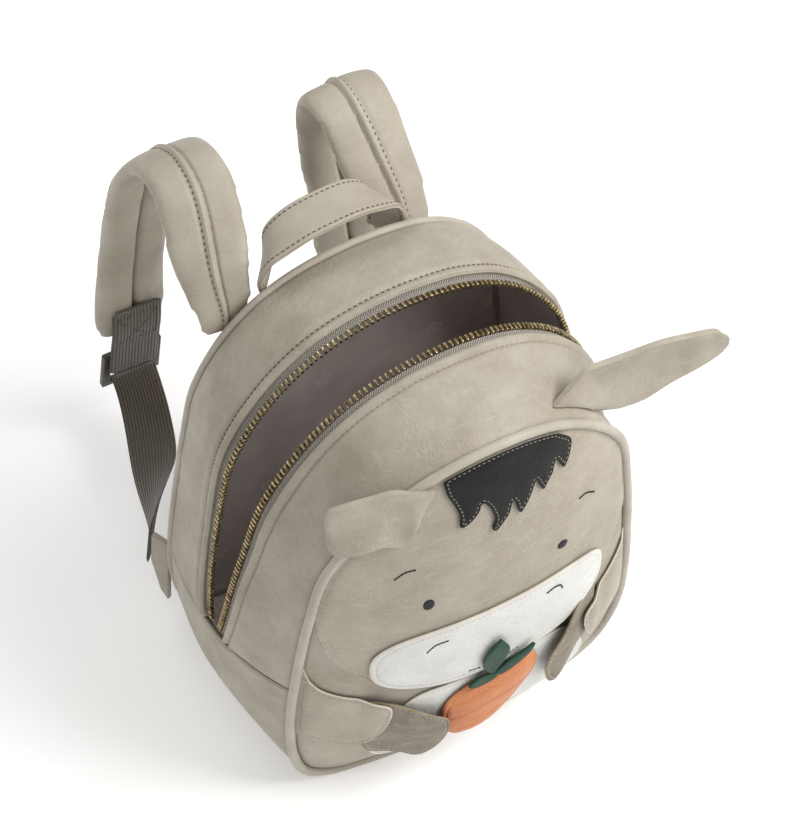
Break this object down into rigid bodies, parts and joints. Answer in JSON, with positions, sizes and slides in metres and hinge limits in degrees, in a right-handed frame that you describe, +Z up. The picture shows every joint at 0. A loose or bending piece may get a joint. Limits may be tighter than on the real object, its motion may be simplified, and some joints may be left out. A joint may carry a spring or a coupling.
{
  "type": "children's animal face backpack",
  "caption": "Small soft children's backpack shaped as a donkey: face and paws on the front, ears, open zipped mouth, grab handle and two padded shoulder straps.",
  "frame": {"origin": "middle of the flat base, on the ground the bag stands on", "axes": "+Z up, the front panel with the face towards -Y, the shoulder straps towards +Y, +X to the right as seen from the front"},
  "size_m": [0.2472, 0.2863, 0.2796],
  "materials": {
    "taupe_leather": "soft matt faux leather with a fine crinkled grain",
    "back_leather": "soft matt faux leather, a little darker",
    "piping_leather": "smooth matt faux leather",
    "strap_leather": "soft matt faux leather over padding",
    "zip_tape": "woven tape",
    "antique_brass": "antique brass, half polished",
    "lining_cloth": "smooth satin lining",
    "pale_leather": "off-white faux leather with fine cracks",
    "black_leather": "glossy faux leather",
    "dark_thread": "satin stitched thread",
    "hoof_leather": "rough matt faux leather",
    "orange_leather": "soft matt faux leather",
    "green_leather": "soft matt faux leather",
    "brown_webbing": "ribbed woven webbing",
    "buckle_plastic": "moulded matt plastic"
  },
  "bodies": {
    "root": {"front_panel": "taupe_leather", "back_panel": "back_leather", "piping_front": "piping_leather", "piping_back": "piping_leather", "gusset_rear": "taupe_leather", "gusset_front": "taupe_leather", "base_gusset": "taupe_leather", "zip_tape_rear": "zip_tape", "zip_teeth_rear": "antique_brass", "zip_tape_front": "zip_tape", "zip_teeth_front": "antique_brass", "zip_slider": "antique_brass", "lining": "lining_cloth", "head_panel": "taupe_leather", "muzzle": "pale_leather", "belly": "pale_leather", "hair_tuft": "black_leather", "eye_left": "dark_thread", "eye_right": "dark_thread", "arm_left": "taupe_leather", "hoof_left": "hoof_leather", "arm_right": "taupe_leather", "hoof_right": "hoof_leather", "carrot": "orange_leather", "carrot_leaf_1": "green_leather", "carrot_leaf_2": "green_leather", "carrot_leaf_3": "green_leather", "ear_right": "taupe_leather", "ear_left": "taupe_leather", "handle": "strap_leather", "shoulder_strap_left": "strap_leather", "strap_patch_left": "brown_webbing", "buckle_left": "buckle_plastic", "webbing_left": "brown_webbing", "strap_tab_left": "back_leather", "shoulder_strap_right": "strap_leather", "strap_patch_right": "brown_webbing", "buckle_right": "buckle_plastic", "webbing_right": "brown_webbing", "strap_tab_right": "back_leather"}
  },
  "joints": []
}
